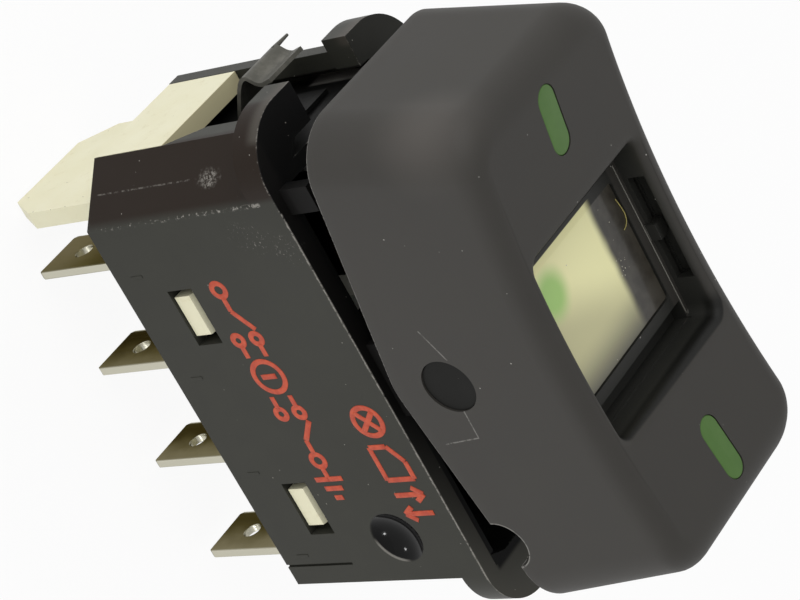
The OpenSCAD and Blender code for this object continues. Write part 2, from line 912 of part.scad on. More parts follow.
// Green cap over the lamp
module lamp_filter() {
    color([0.3, 0.55, 0.28])
        translate([0, 0, filter_z])
            rotate_extrude($fn = 48)
                difference() {
                    domed_half(lamp_r + set_gap / 2 + filter_t, lamp_top - filter_z - lamp_r);
                    translate([0, -filter_t])
                        domed_half(lamp_r + set_gap / 2, lamp_top - filter_z - lamp_r + filter_t);
                }
}

// Half section of a round rod with a ball end
module domed_half(r, h) {
    intersection() {
        union() {
            square([r, h]);
            translate([0, h])
                circle(r, $fn = 48);
        }
        square([r, h + r]);
    }
}

// Hairpin panel clip under the collar end: flat leg on the wall, ramp, and a latch leaf behind the panel
module clip(face, y, end) {
    ridge = [end - face, 0] + clip_ridge;
    leg = clip_t / 2 + set_gap / 2;
    rise = atan2(ridge[1] - clip_foot + clip_bend, ridge[0] - leg - clip_bend);
    bend = [for (i = [0:bend_n]) let (a = 180 + (90 + rise) * i / bend_n)
        [leg + clip_bend + clip_bend * cos(a), clip_foot + clip_bend * sin(a)]];
    leaf = eased([bend[bend_n], ridge, [end - face, 0] + clip_valley, [end - face, 0] + clip_lip], bend_n);
    color([0.13, 0.13, 0.13])
        difference() {
            union() {
                translate([face, 0, 0])
                    along_y(y - clip_w / 2, y + clip_w / 2)
                        polygon(strip(concat([[leg, clip_top]], bend, leaf), clip_t));
                translate([end + prong_at[0], y + clip_w / 2 - clip_t, prong_at[1]])
                    rotate([-90, 0, 0])
                        cylinder(r1 = prong_r[0], r2 = prong_r[1], h = clip_t + prong_l, $fn = 24);
            }
            translate([face - clip_t, y, stud_z])
                rotate([0, 90, 0])
                    cylinder(r = stud_r + set_gap / 2, h = 3 * clip_t);
        }
}

module clip_a() {
    mirror([1, 0, 0])
        clip(bulk_a, clip_a_y, collar_a);
}

module clip_b() {
    clip(reach_b, 0, collar_end);
}

housing();
terminal_base();
rocker();
light_box();
diffuser();
lens_a();
lens_b();
plunger_near();
plunger_far();
spring_near();
spring_far();
bridge_near();
bridge_far();
contact_near_a();
fulcrum_near();
contact_near_b();
lamp_feed_near();
contact_far_a();
fulcrum_far();
contact_far_b();
lamp_feed_far();
lamp_socket();
lamp();
lamp_filter();
clip_a();
clip_b();
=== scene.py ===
# Power window switch: a used dashboard rocker switch with a dished grey rocker, an empty icon window,
# a black keyed housing, a cream terminal base and tinned blades. Lengths are in millimetres in the part's
# frame and turned into metres where a mesh is made.
import math

import bmesh
import bpy
import numpy as np
from mathutils import Matrix, Vector


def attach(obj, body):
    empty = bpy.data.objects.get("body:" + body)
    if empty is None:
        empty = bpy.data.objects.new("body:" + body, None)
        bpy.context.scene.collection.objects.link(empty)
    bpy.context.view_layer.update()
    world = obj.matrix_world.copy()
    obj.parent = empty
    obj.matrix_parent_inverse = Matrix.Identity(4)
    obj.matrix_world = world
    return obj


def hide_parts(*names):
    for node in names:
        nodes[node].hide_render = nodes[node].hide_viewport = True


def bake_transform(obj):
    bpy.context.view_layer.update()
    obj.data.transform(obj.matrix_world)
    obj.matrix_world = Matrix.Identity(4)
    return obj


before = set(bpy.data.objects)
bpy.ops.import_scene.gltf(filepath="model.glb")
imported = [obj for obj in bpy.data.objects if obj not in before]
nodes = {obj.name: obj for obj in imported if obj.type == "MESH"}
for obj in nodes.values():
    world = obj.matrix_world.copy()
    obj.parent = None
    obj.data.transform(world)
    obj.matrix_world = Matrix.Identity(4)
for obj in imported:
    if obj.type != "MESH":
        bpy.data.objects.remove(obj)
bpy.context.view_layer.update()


# Housing
# A deep tub with a collar, injection moulded in black glass-filled nylon. Two corners are cut off at the
# keyed end; the mould leaves every outer edge slightly round. It carries the pivot bosses of the rocker.
MM = 0.001
wall_y = -11.7
collar_z = 3.0
cut_start = (-25.0, 6.4)
cut_stop = (-20.3, 11.7)
hollow_middle = (16.9, -11.2, -5.1)
hollow_rim = 2.84


class Sock:
    """A shader socket in Python arithmetic: every operator adds one Math node, a number stays a value."""

    def __init__(self, socket):
        self.socket = socket
        self.tree = socket.id_data

    def node(self, kind, settings=None, out=0, **inputs):
        """Adds a node: its settings first, then a value or link for each socket. A socket goes by its label,
        with _ for a space, or by its place as s0, s1 and so on."""
        made = self.tree.nodes.new(kind)
        for key, value in (settings or {}).items():
            setattr(made, key, value)
        for key, value in inputs.items():
            socket = made.inputs[int(key[1:]) if key[1:].isdigit() else key.replace("_", " ")]
            if isinstance(value, Sock):
                self.tree.links.new(value.socket, socket)
            else:
                socket.default_value = value
        return Sock(made.outputs[out])

    def math(self, operation, a, b=0.0):
        return self.node("ShaderNodeMath", {"operation": operation}, s0=a, s1=b)

    def __add__(self, other):
        return self.math("ADD", self, other)

    def __sub__(self, other):
        return self.math("SUBTRACT", self, other)

    def __rsub__(self, other):
        return self.math("SUBTRACT", other, self)

    def __mul__(self, other):
        return self.math("MULTIPLY", self, other)

    def __truediv__(self, other):
        return self.math("DIVIDE", self, other)

    def __lt__(self, other):
        return self.math("LESS_THAN", self, other)

    def __abs__(self):
        return self.math("ABSOLUTE", self)

    __radd__ = __add__
    __rmul__ = __mul__

    def at_most(self, other):
        return self.math("MINIMUM", self, other)

    def at_least(self, other):
        return self.math("MAXIMUM", self, other)

    def step(self, low, high):
        """0 below low, 1 above high and a smooth rise between."""
        settings = {"interpolation_type": "SMOOTHSTEP"}
        return self.node("ShaderNodeMapRange", settings, Value=self, From_Min=low, From_Max=high)

    def fade(self, low, high):
        """1 below low, 0 above high and a smooth fall between."""
        return 1 - self.step(low, high)

    def band(self, middle, inner, outer):
        """1 within inner of the middle value, 0 beyond outer and a smooth fall between."""
        return abs(self - middle).fade(inner, outer)

    def noise(self, scale, detail=3.0, roughness=0.5):
        """Fractal noise of the place in self, about 0.5, with features of 1 / scale."""
        settings = {"Scale": scale, "Detail": detail, "Roughness": roughness}
        return self.node("ShaderNodeTexNoise", Vector=self, **settings)

    def specks(self, scale, size):
        """Round dots, one in each cell of 1 / scale: 1 within that share of a cell from its middle."""
        return self.node("ShaderNodeTexVoronoi", Vector=self, Scale=scale, Randomness=1.0) < size

    def axis(self, name):
        """One coordinate of the place in self."""
        return self.node("ShaderNodeSeparateXYZ", None, "XYZ".index(name), Vector=self)

    def vector(self, operation, a, b, out=0, **inputs):
        return self.node("ShaderNodeVectorMath", {"operation": operation}, out, s0=a, s1=b, **inputs)

    def from_point(self, point):
        """Distance of the place in self from a point."""
        return self.vector("DISTANCE", self, point, "Value")

    def from_line(self, start, end):
        """Distance of the place in self from the straight line between two points."""
        way = Vector(end) - Vector(start)
        off = self.vector("SUBTRACT", self, start)
        share = self.vector("DOT_PRODUCT", off, way, "Value") / way.length_squared
        share = share.at_least(0.0).at_most(1.0)
        return self.vector("DISTANCE", off, self.vector("SCALE", way, (0, 0, 0), Scale=share), "Value")

    def blend(self, a, b):
        """Colour a where self is 0 and colour b where it is 1."""
        return self.node("ShaderNodeMix", {"data_type": "RGBA"}, 2, s0=self, s6=a, s7=b)

    def bump(self, depth, strength):
        """A normal bent by the height in self, where 1 stands for that depth in millimetres."""
        return self.node("ShaderNodeBump", Strength=strength, Distance=depth * MM, Height=self)

    def into(self, shader, name):
        self.tree.links.new(self.socket, shader.inputs[name])


def rgb(r, g, b):
    """A colour as the eye reads it on a screen, 0 to 255, in the linear values that a shader takes."""
    shares = np.array([r, g, b]) / 255.0
    linear = np.where(shares > 0.04045, ((shares + 0.055) / 1.055) ** 2.4, shares / 12.92)
    return (*linear.tolist(), 1.0)


def finish(name, **constants):
    """A material with one Principled shader, its constant sockets set. Gives the material, the shader and the
    Object coordinates in millimetres."""
    made = bpy.data.materials.new(name)
    made.use_nodes = True
    shader = made.node_tree.nodes["Principled BSDF"]
    for key, value in constants.items():
        shader.inputs[key.replace("_", " ")].default_value = value
    place = Sock(made.node_tree.nodes.new("ShaderNodeTexCoord").outputs["Object"])
    place = place.node("ShaderNodeVectorMath", {"operation": "SCALE"}, Vector=place, Scale=1 / MM)
    return made, shader, place


def moulded(node, radius, segments=2, sharper=28):
    """The solid of a CAD node as one welded skin: corners on the same point of a two-micron grid join, flat
    triangles merge into whole faces, and each edge sharper than the given degrees is rounded."""
    grid = 2e-6
    flat = math.radians(0.6)
    source = nodes[node].data
    corners = np.empty(len(source.vertices) * 3)
    source.vertices.foreach_get("co", corners)
    faces = np.empty(len(source.polygons) * 3, int)
    source.polygons.foreach_get("vertices", faces)
    keys, same = np.unique(np.round(corners.reshape(-1, 3) / grid), axis=0, return_inverse=True)
    faces = same.reshape(-1)[faces].reshape(-1, 3)
    whole = (faces[:, 0] != faces[:, 1]) & (faces[:, 1] != faces[:, 2]) & (faces[:, 2] != faces[:, 0])
    mesh = bpy.data.meshes.new(node + "_skin")
    mesh.from_pydata((keys * grid).tolist(), [], faces[whole].tolist())
    skin = bmesh.new()
    skin.from_mesh(mesh)
    bmesh.ops.dissolve_limit(skin, angle_limit=flat, verts=skin.verts, edges=skin.edges)
    skin.to_mesh(mesh)
    skin.free()
    mesh.shade_smooth()
    piece = bpy.data.objects.new(mesh.name, mesh)
    bpy.context.scene.collection.objects.link(piece)
    edge = piece.modifiers.new("round edges", "BEVEL")
    edge.width = radius * MM
    edge.segments = segments
    edge.limit_method = "ANGLE"
    edge.angle_limit = math.radians(sharper)
    edge.harden_normals = True
    return piece


housing_black, shader, at = finish("housing_black", IOR=1.5, Specular_IOR_Level=0.16)
x, y, z = at.axis("X"), at.axis("Y"), at.axis("Z")
wide = abs(y)
# Broad uneven gloss, fine moulding grain, flecks that break up the wear, and pale dust
cloud = at.noise(0.3, 4.0)
grain = at.noise(14.0, 2.0)
fleck = at.noise(2.6, 4.0, 0.7)
dust = at.specks(0.9, 0.05) * at.noise(0.5, 1.0).step(0.5, 0.62)
# Rubbed edges: between cut face and near wall, along the near edge of the collar, and all round its front
corner = at.from_line((cut_stop[0], wall_y, -21.0), (cut_stop[0], wall_y, 1.0))
rub = corner.fade(0.04, 0.3) * (fleck + z * 0.006).step(0.5, 0.56)
rim = at.from_line((-19.0, wall_y, collar_z), (24.0, wall_y, collar_z))
rim = rim.fade(0.03, 0.15) * fleck.step(0.3, 0.5)
lip = z.step(2.78, 2.84) * z.fade(2.95, 2.99) * fleck.step(0.5, 0.6)
# A scrape on the near wall, a scuff and a straight scratch on the cut face, and a painted
# highlight in an arc on the rim of the round hollow
scrape = at.from_line((-17.6, wall_y, -3.0), (-15.4, wall_y, 1.6)) + at.noise(1.3, 4.0) * 1.4
scrape = scrape.fade(1.4, 2.6) * at.noise(3.4, 4.0, 0.75).step(0.6, 0.68)
squeezed = at.vector("MULTIPLY", at, (1.0, 1.0, 0.65))
scuff = squeezed.from_point((-22.5, -9.3, -3.6)) + at.noise(2.2, 4.0) * 1.2
scuff = scuff.fade(0.9, 1.7) * at.noise(3.6, 3.0, 0.7).step(0.42, 0.6)
scratch = at.from_line((-22.6, -9.2, -20.0), (-22.6, -9.2, -8.0))
scratch = scratch.fade(0.04, 0.14) * fleck.step(0.42, 0.6)
hollow_far = at.from_point(hollow_middle)
lower_side = (x - hollow_middle[0]) * 0.72 - (z - hollow_middle[2]) * 0.69
rim_glint = hollow_far.band(hollow_rim, 0.04, 0.14) * lower_side.step(1.8, 2.6)
# These pale marks are dust and wear, together with the painted highlight on the rim of the round hollow
pale_marks = dust * 0.7 + rub * 0.5 + rim * 0.5 + lip * 0.25
pale_marks = pale_marks + scrape * 0.45 + scuff * 0.45 + scratch * 0.3 + rim_glint * 0.4
pale_marks = pale_marks.at_most(1.0)
# The cut face is browner; the collar's front has painted shade, near black at the keyed end and
# under the rocker, and is painted paler at the plain end
cut_face = x.fade(-21.0, -20.2) * y.fade(-6.4, -5.6)
front = z.step(2.86, 2.98)
plain_end = x.step(2.0, 25.0)
far_lobe = y.step(2.0, 6.0) * x.fade(-20.0, -14.0)
ledge = wide.fade(9.55, 10.05) * x.fade(22.4, 23.0) * (1 - far_lobe)
collar_front_shade = far_lobe.blend(rgb(15, 14, 13), rgb(42, 42, 38))
base = cloud.blend(rgb(49, 49, 44), rgb(58, 58, 52))
base = cut_face.blend(base, rgb(32, 22, 13))
base = front.blend(base, plain_end.blend(collar_front_shade, rgb(76, 75, 69)))
base = (front * ledge).blend(base, rgb(7, 7, 7))
# The pivot bosses and the round hollow stay almost black, and the inside of the tub is painted
# almost black as shade
boss = z.step(7.0, 8.0)
hollow = hollow_far.fade(2.75, 3.0)
behind_cut = (x - cut_start[0]) / (cut_stop[0] - cut_start[0])
behind_cut = behind_cut - (wide - cut_start[1]) / (cut_stop[1] - cut_start[1])
inside = wide.fade(9.85, 9.95) * x.step(-23.4, -23.2) * x.fade(22.0, 22.2) * behind_cut.step(0.3, 0.45)
base = boss.blend(base, rgb(22, 22, 20))
base = hollow.blend(base, rgb(5, 5, 5))
base = (inside * (1 - boss)).blend(base, rgb(10, 10, 9))
# Painted light makes paler a patch on the wall beside the clip's stud and the ends of the collar's lobes
# at the keyed end
lit_stud_wall = x.band(-21.9, 0.1, 0.2) * y.step(6.2, 6.7) * y.fade(9.2, 9.4) * z.step(-5.0, -4.4)
lit_lobe_side = x.fade(-25.8, -25.1) * z.step(1.2, 2.6) * z.fade(2.89, 2.95)
base = lit_stud_wall.blend(base, rgb(96, 94, 90))
base = lit_lobe_side.blend(base, rgb(72, 68, 62))
pale_marks.blend(base, rgb(186, 182, 174)).into(shader, "Base Color")
(0.38 + cloud * 0.14 + pale_marks * 0.3 - hollow * 0.36 + front * 0.2).into(shader, "Roughness")
(grain * 0.6 * (1 - hollow) + pale_marks * 0.8).bump(0.02, 0.5).into(shader, "Normal")

housing = moulded("housing", 0.22)
housing.data.materials.append(housing_black)
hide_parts("housing")
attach(housing, "housing")


# Pad print
# Orange-red ink pressed on the near wall by a soft pad: a plain contact diagram in place of ratings.
# The strokes stand a few hundredths of a millimetre proud of the wall.
def tube_mesh(name, *grids):
    """One mesh from grids of points in millimetres, rings by points around by xyz. Each ring is closed; where
    the first and last ring are the same the grid closes on itself, else both ends get a cap. The sign of the
    volume that the faces hold tells whether they have to be turned outwards."""
    points, faces, start = [], [], 0
    for grid in grids:
        closed = np.allclose(grid[0], grid[-1])
        rings = np.asarray(grid[:-1] if closed else grid, float)
        count, around = rings.shape[:2]
        index = start + np.arange(count * around).reshape(count, around)
        ahead = np.roll(index, -1, axis=0) if closed else index[1:]
        here = index if closed else index[:-1]
        quads = np.stack([here, np.roll(here, -1, 1), np.roll(ahead, -1, 1), ahead], -1).reshape(-1, 4)
        flat = rings.reshape(-1, 3)
        corner = flat[quads - start]
        volume = (corner[:, 0] * np.cross(corner[:, 1], corner[:, 2])).sum()
        volume += (corner[:, 0] * np.cross(corner[:, 2], corner[:, 3])).sum()
        shell = quads.tolist()
        if not closed:
            for cap in (index[0][::-1], index[-1]):
                rim = flat[cap - start]
                volume += (rim[0] * np.cross(rim[1:-1], rim[2:])).sum()
                shell.append(cap.tolist())
        faces += shell if volume > 0 else [face[::-1] for face in shell]
        points.append(flat)
        start += count * around
    mesh = bpy.data.meshes.new(name)
    mesh.from_pydata((np.concatenate(points) * MM).tolist(), [], faces)
    mesh.shade_smooth()
    piece = bpy.data.objects.new(name, mesh)
    bpy.context.scene.collection.objects.link(piece)
    return piece


ink_w = 0.6
ink_h = 0.02
ink_layer = 0.001
strokes = []


def ink(path, closed=False):
    """Adds a stroke along points (x, z) of the wall: a flat six-sided section carried along the path.
    Each stroke lies a thousandth higher than the last, so that crossings stay clean."""
    path = np.asarray(path, float)
    along = np.roll(path, -1, 0) - np.roll(path, 1, 0) if closed else np.gradient(path, axis=0)
    along /= np.linalg.norm(along, axis=1)[:, None]
    side = np.stack([-along[:, 1], along[:, 0]], 1)
    across = np.array([-0.5, -0.42, 0.42, 0.5, 0.42, -0.42]) * ink_w
    height = np.array([0.0, 1.0, 1.0, 0.0, -1.0, -1.0]) * (ink_h + ink_layer * len(strokes))
    flat = path[:, None] + side[:, None] * across[None, :, None]
    out = np.broadcast_to(wall_y - height, flat.shape[:2])
    made = np.stack([flat[..., 0], out, flat[..., 1]], -1)
    strokes.append(np.concatenate([made, made[:1]]) if closed else made)


def line(*corners):
    """Straight strokes from corner to corner (x, z)."""
    for start, stop in zip(corners, corners[1:]):
        ink(np.linspace(start, stop, 6))


def circle(cx, cz, r):
    """A round stroke of radius r."""
    turn = np.linspace(0, 2 * math.pi, 40, endpoint=False)
    ink(np.stack([cx + r * np.cos(turn), cz + r * np.sin(turn)], 1), closed=True)


# Rear row: two change-over contacts on either side of a motor, and an earth sign
row_z = -9.2
motor_x = -2.45
earth_x = 9.6
for turn, pole in ((1, -12.3), (-1, 7.4)):
    circle(pole, row_z, 0.75)
    line((pole + turn * 0.8, row_z), (pole + turn * 2.4, row_z), (pole + turn * 4.6, row_z + 1.7))
    for level in (1.15, -1.15):
        circle(pole + turn * 5.6, row_z + level, 0.6)
        line((pole + turn * 6.2, row_z + level), (pole + turn * 7.6, row_z + level))
circle(motor_x, row_z, 1.75)
line((motor_x, row_z - 0.9), (motor_x, row_z + 0.9))
line((earth_x - 1.4, row_z), (earth_x, row_z), (earth_x, row_z - 1.7))
line((earth_x, row_z), (earth_x, row_z + 1.7))
line((earth_x + 1.1, row_z - 1.1), (earth_x + 1.1, row_z + 1.1))
line((earth_x + 2.2, row_z - 0.5), (earth_x + 2.2, row_z + 0.5))
# Front row: lamp, window pane and the two directions
sign_z = -0.6
lamp_x = 3.5
cross = 1.1
circle(lamp_x, sign_z, 1.6)
line((lamp_x - cross, sign_z - cross), (lamp_x + cross, sign_z + cross))
line((lamp_x - cross, sign_z + cross), (lamp_x + cross, sign_z - cross))
pane = np.array([(6.4, -1.6), (10.2, -1.6), (10.2, 1.7), (8.2, 1.7), (6.4, 0.4), (6.4, -1.6)])
line(*(pane + [0, sign_z]))
for arrow, way in ((12.0, 1), (14.2, -1)):
    tip = sign_z + way * 1.7
    line((arrow, sign_z - way * 1.7), (arrow, tip))
    line((arrow - 0.8, tip - way * 1.1), (arrow, tip), (arrow + 0.8, tip - way * 1.1))
pad_print = tube_mesh("pad_print", *strokes)

print_ink, shader, at = finish("print_ink", Roughness=0.5)
at.noise(1.6, 3.0).step(0.3, 0.7).blend(rgb(174, 57, 27), rgb(198, 76, 38)).into(shader, "Base Color")
pad_print.data.materials.append(print_ink)
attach(pad_print, "housing")


# Terminal marks
# Four short strokes of the housing's black nylon beside the near blades, where numbers would stand. They are
# moulded in one with the near wall.
mark_half = (0.15, 0.75)
mark_z = -18.2
mark_y = (wall_y + 0.1, wall_y - 0.06)
marks = []
for mark_x in (-14.8, -3.1, 8.3, 18.5):
    outline = np.array([(1, 1), (-1, 1), (-1, -1), (1, -1)]) * mark_half + [mark_x, mark_z]
    marks.append(np.stack([np.insert(outline, 1, depth, axis=1) for depth in mark_y]))
terminal_marks = tube_mesh("terminal_marks", *marks)
edge = terminal_marks.modifiers.new("round edges", "BEVEL")
edge.width = 0.04 * MM
edge.segments = 2
edge.harden_normals = True
terminal_marks.data.materials.append(housing_black)
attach(terminal_marks, "housing")


# Terminal base
# The rear plate that closes the housing, moulded in cream polyamide with its latches, the key plate of the
# keyed end and the guard tongue beside the blades. It snaps into the windows of the long walls.
cream_plastic, shader, at = finish("cream_plastic", IOR=1.5)
x, wide, z = at.axis("X"), abs(at.axis("Y")), at.axis("Z")
cloud = at.noise(0.3, 4.0)
stain = at.noise(0.9, 5.0, 0.65).step(0.56, 0.72)
dust = at.specks(0.8, 0.05) * at.noise(0.6, 1.0).step(0.5, 0.6)
# Painted shade darkens the front edge of the key plate, and what stands inside the housing is painted
# dark as shade
key_front_shade = z.step(-12.2, -12.12) * x.fade(-23.0, -22.8)
within = z.step(-16.4, -16.0) * x.step(-21.0, -20.5) * wide.fade(10.1, 10.2)
base = cloud.blend(rgb(236, 233, 205), rgb(229, 224, 190))
base = (stain * 0.35).blend(base, rgb(208, 199, 158))
base = key_front_shade.blend(base, rgb(206, 198, 160))
base = within.blend(base, rgb(30, 27, 22))
dust.blend(base, rgb(120, 108, 84)).into(shader, "Base Color")
(0.4 + cloud * 0.15).into(shader, "Roughness")
at.noise(9.0, 2.0).bump(0.02, 0.4).into(shader, "Normal")
terminal_base = moulded("terminal_base", 0.18)
terminal_base.data.materials.append(cream_plastic)
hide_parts("terminal_base")
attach(terminal_base, "housing")


# Blade terminals
# Eight blades of 0.8 mm brass strip, tinned and stamped, each with its inner strap, pad or fulcrum.
# They are pushed through slots in the base; handling has left them dull and brown in patches.
blade_y = 5.35
hole_z = -30.6
tip_z = -34.44
tinned_brass, shader, at = finish("tinned_brass", Metallic=1.0, Specular_Tint=(0.08, 0.08, 0.06, 1.0))
wide, z = abs(at.axis("Y")), at.axis("Z")
tarnish = at.noise(0.22, 4.0, 0.55).step(0.3, 0.7)
drawn = at.vector("MULTIPLY", at, (1.0, 1.0, 0.15)).noise(2.2, 4.0)
# Painted highlights keep the stamped sides, hole and tip brighter than the rolled faces
sides = abs(wide - blade_y).step(2.85, 3.12)
hole_far = at.node("ShaderNodeCombineXYZ", Y=wide, Z=z).from_point((0.0, blade_y, hole_z))
tip = z.fade(tip_z - 0.02, tip_z + 0.04)
edge_highlight = sides.at_least(hole_far.fade(0.96, 1.02)).at_least(tip)
# A painted sheen pales the faces outwards and the first blade all over, and the straps inside the
# housing are painted dark as shade
sheen = (wide + tarnish * 1.2).step(4.6, 9.3)
first = at.axis("X").fade(-9.5, -8.5)
strap = z.step(-20.0, -16.0)
base = sheen.blend(first.blend(rgb(94, 88, 66), rgb(160, 152, 130)), rgb(150, 143, 120))
base = edge_highlight.blend(base, rgb(204, 201, 184))
strap.blend(base, rgb(34, 29, 20)).into(shader, "Base Color")
(0.22 + drawn * 0.2).into(shader, "Roughness")
drawn.bump(0.01, 0.4).into(shader, "Normal")
for kind in ("contact_{}_a", "fulcrum_{}", "contact_{}_b", "lamp_feed_{}"):
    for row in ("near", "far"):
        blade = moulded(kind.format(row), 0.2, segments=3)
        blade.data.materials.append(tinned_brass)
        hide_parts(kind.format(row))
        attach(blade, "housing")


# Lamp, socket and colour cap
# A capless glass lamp stands in a white plastic socket that plugs into the base, under a green silicone cap
# that tints its light.
white_plastic, shader, at = finish("white_plastic", Roughness=0.5)
at.noise(0.5, 3.0).blend(rgb(226, 224, 214), rgb(214, 211, 198)).into(shader, "Base Color")
lamp_glass, shader, at = finish("lamp_glass", Roughness=0.03, Transmission_Weight=1.0, IOR=1.5)
at.noise(0.4, 2.0).blend(rgb(244, 247, 248), rgb(236, 240, 242)).into(shader, "Base Color")
green_cap, shader, at = finish("green_cap", Roughness=0.4, Transmission_Weight=0.3)
at.noise(0.6, 3.0).blend(rgb(88, 150, 84), rgb(74, 132, 70)).into(shader, "Base Color")
for node, coat in (("lamp_socket", white_plastic), ("lamp", lamp_glass), ("lamp_filter", green_cap)):
    nodes[node].data.materials[0] = coat


# Contact bridges
# See-saws stamped from brass strip, each with a silver rivet at both ends. A bridge lies loose on the edge of
# its middle terminal and rocks there.
bridge_brass, shader, at = finish("bridge_brass", Metallic=1.0, Roughness=0.3)
at.noise(0.5, 4.0).blend(rgb(92, 70, 40), rgb(66, 48, 26)).into(shader, "Base Color")
for row in ("near", "far"):
    nodes["bridge_" + row].data.materials[0] = bridge_brass


# Plungers and springs
# White acetal pins slide in the rocker's sleeves, each pushed down by a coil of drawn spring wire. Each
# coil is drawn once, at rest, and follows neither the rocker nor the pin.
spring_steel, shader, at = finish("spring_steel", Metallic=1.0, Roughness=0.25)
at.noise(1.0, 3.0).blend(rgb(182, 182, 184), rgb(150, 150, 152)).into(shader, "Base Color")
pin_y = 6.1
wire_r = 0.22
coil_r = 1.11
coil_z = (4.27, 11.93)
coil_turns = 7


def coil(cy, steps=36, around=10):
    """A helix about an upright axis: a round wire section in the plane of the axis, carried up and round."""
    share = np.linspace(0, 1, coil_turns * steps + 1)[:, None]
    turn = 2 * math.pi * coil_turns * share
    section = np.linspace(0, 2 * math.pi, around, endpoint=False)[None]
    reach = coil_r + wire_r * np.cos(section)
    rise = coil_z[0] + (coil_z[1] - coil_z[0]) * share + wire_r * np.sin(section)
    return np.stack([reach * np.cos(turn), cy + reach * np.sin(turn), rise], -1)


for row, cy in (("near", -pin_y), ("far", pin_y)):
    nodes["plunger_" + row].data.materials[0] = white_plastic
    spring = tube_mesh("coil_" + row, coil(cy))
    spring.data.materials.append(spring_steel)
    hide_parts("spring_" + row)
    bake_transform(spring)


# Rocker
# A thin shell moulded in soft-touch dark grey plastic: a dished front, leaning ends, all edges round, and a
# recessed window for an icon plate. Its side walls turn on the two bosses of the housing.
half_length = 26.2
half_width = 12.5
corner_r = 5.0
shell_t = 1.6
pivot_z = 11.6
pivot_r = 2.75
rear_z = 5.2
rear_tan = math.tan(math.radians(9))
rear_soft = 0.6
lean_tan = math.tan(math.radians(8))
end_z = rear_z + half_length * rear_tan
front_z = 24.3
dish_r = 120.0
ridge_r = 2.2
end_r = 3.35
foot_r = 0.35
lip_r = 0.8
top_t = 2.2
window = (9.5, 9.7, 1.2)
opening = (6.4, 8.1, 0.5)
ledge_z = 21.1
block = (10.9, 10.4, 1.5)
block_z = 17.4
block_draft = 0.1


def track(long_side=72, short_side=36, corner=18):
    """The way round a rounded rectangle: the place of its corner centre, -1 to 1 each way, and the angle
    of its outward normal, for the four sides and four corners in turn."""
    sides = ((1, -1, 1, 1, 0), (1, 1, -1, 1, 90), (-1, 1, -1, -1, 180), (-1, -1, 1, -1, 270))
    parts = []
    for x0, y0, x1, y1, angle in sides:
        share = np.linspace(0, 1, short_side if x0 == x1 else long_side, endpoint=False)
        parts.append(np.stack([x0 + (x1 - x0) * share, y0 + (y1 - y0) * share, 0 * share + angle], 1))
        turn = np.linspace(0, 90, corner, endpoint=False)
        parts.append(np.stack([0 * turn + x1, 0 * turn + y1, angle + turn], 1))
    return np.concatenate(parts)


way = track()
normal = np.stack([np.cos(np.radians(way[:, 2])), np.sin(np.radians(way[:, 2]))], 1)


def loop(a, b, r):
    """Points of a rounded rectangle of half sides a and b and corner radius r, in plan."""
    return np.stack([way[:, 0] * (a - r) + r * normal[:, 0], way[:, 1] * (b - r) + r * normal[:, 1]], 1)


def dish(x):
    """Height of the dished front: a hollow cylinder of radius dish_r lying along Y above the front."""
    return front_z + dish_r - np.sqrt(dish_r**2 - x**2)


def rear(x):
    """Height of the rear edge: two slopes that meet in a soft valley at the pivot."""
    return rear_z + rear_tan * (np.sqrt(x**2 + rear_soft) - 0.77)


def leaning(z, inset=0.0):
    """The plan outline at height z, one height per point: the ends lean inwards as they rise."""
    a = half_length - (z - end_z) * lean_tan - inset
    return loop(a, half_width - inset, corner_r - inset)


def ring(plan, z):
    """Points in plan lifted to a height, or to one height each."""
    return np.concatenate([plan, np.reshape(np.broadcast_to(z, len(plan)), (-1, 1))], 1)


def on_front(plan, below=0.0):
    """Points in plan lifted to the dished front, or that far below it."""
    return ring(plan, dish(plan[:, 0]) - below)


def on_rear(plan):
    """Points in plan lifted to the rear edge."""
    return ring(plan, rear(plan[:, 0]))


def under_front(below, inset):
    """The leaning outline where it meets the front or a surface below it. The plan depends on the height and
    the height on the plan, so they are worked out in turn until they settle."""
    height = np.full(len(way), 25.0)
    for settle in range(6):
        height = dish(leaning(height, inset)[:, 0]) - below
    return height


def arcs(start, corner, stop, count):
    """Rings of a round edge: from start to stop along conic arcs that leave and arrive towards the corner."""
    share = np.linspace(0, 1, count)[:, None, None]
    weight = math.cos(math.radians(45))
    ends = (1 - share) ** 2 * start + share**2 * stop
    middle = 2 * weight * share * (1 - share)
    return list((ends + middle * corner) / ((1 - share) ** 2 + middle + share**2))


def between(a, b, count):
    """Rings evenly spread from a to b, both left out."""
    return [a + (b - a) * share for share in np.linspace(0, 1, count + 2)[1:-1]]


# Outer wall from its foot to the ridge, which is rounder at the ends than along the sides
sole = np.full(len(way), end_z)
wall_foot = on_rear(leaning(sole))
foot_in = on_rear(leaning(sole, foot_r))
foot_up = wall_foot + np.array([0, 0, foot_r])
edge_t = ridge_r + (end_r - ridge_r) * normal[:, 0] ** 2
top = under_front(0.0, 0.0)
ridge = ring(leaning(top), top)
wall_top = ring(leaning(top - edge_t), top - edge_t)
front_edge = on_front(ridge[:, :2] - normal * edge_t[:, None])
# Window from its lip down to the ledge, through the opening and back up round the block that holds it
lip_out = on_front(loop(window[0] + lip_r, window[1] + lip_r, window[2] + lip_r))
lip = on_front(loop(*window))
lip_down = lip - np.array([0, 0, lip_r])
sill = ring(loop(*window), ledge_z)
step_in = ring(loop(*opening), ledge_z)
step_low = ring(loop(*opening), block_z)
block_foot = ring(loop(*block), block_z)
block_top = on_front(loop(*(size + block_draft for size in block)), top_t)
# Inner side of the shell
inner = under_front(top_t, shell_t)
inner_top = ring(leaning(inner, shell_t), inner)
inner_foot = on_rear(leaning(sole, shell_t))

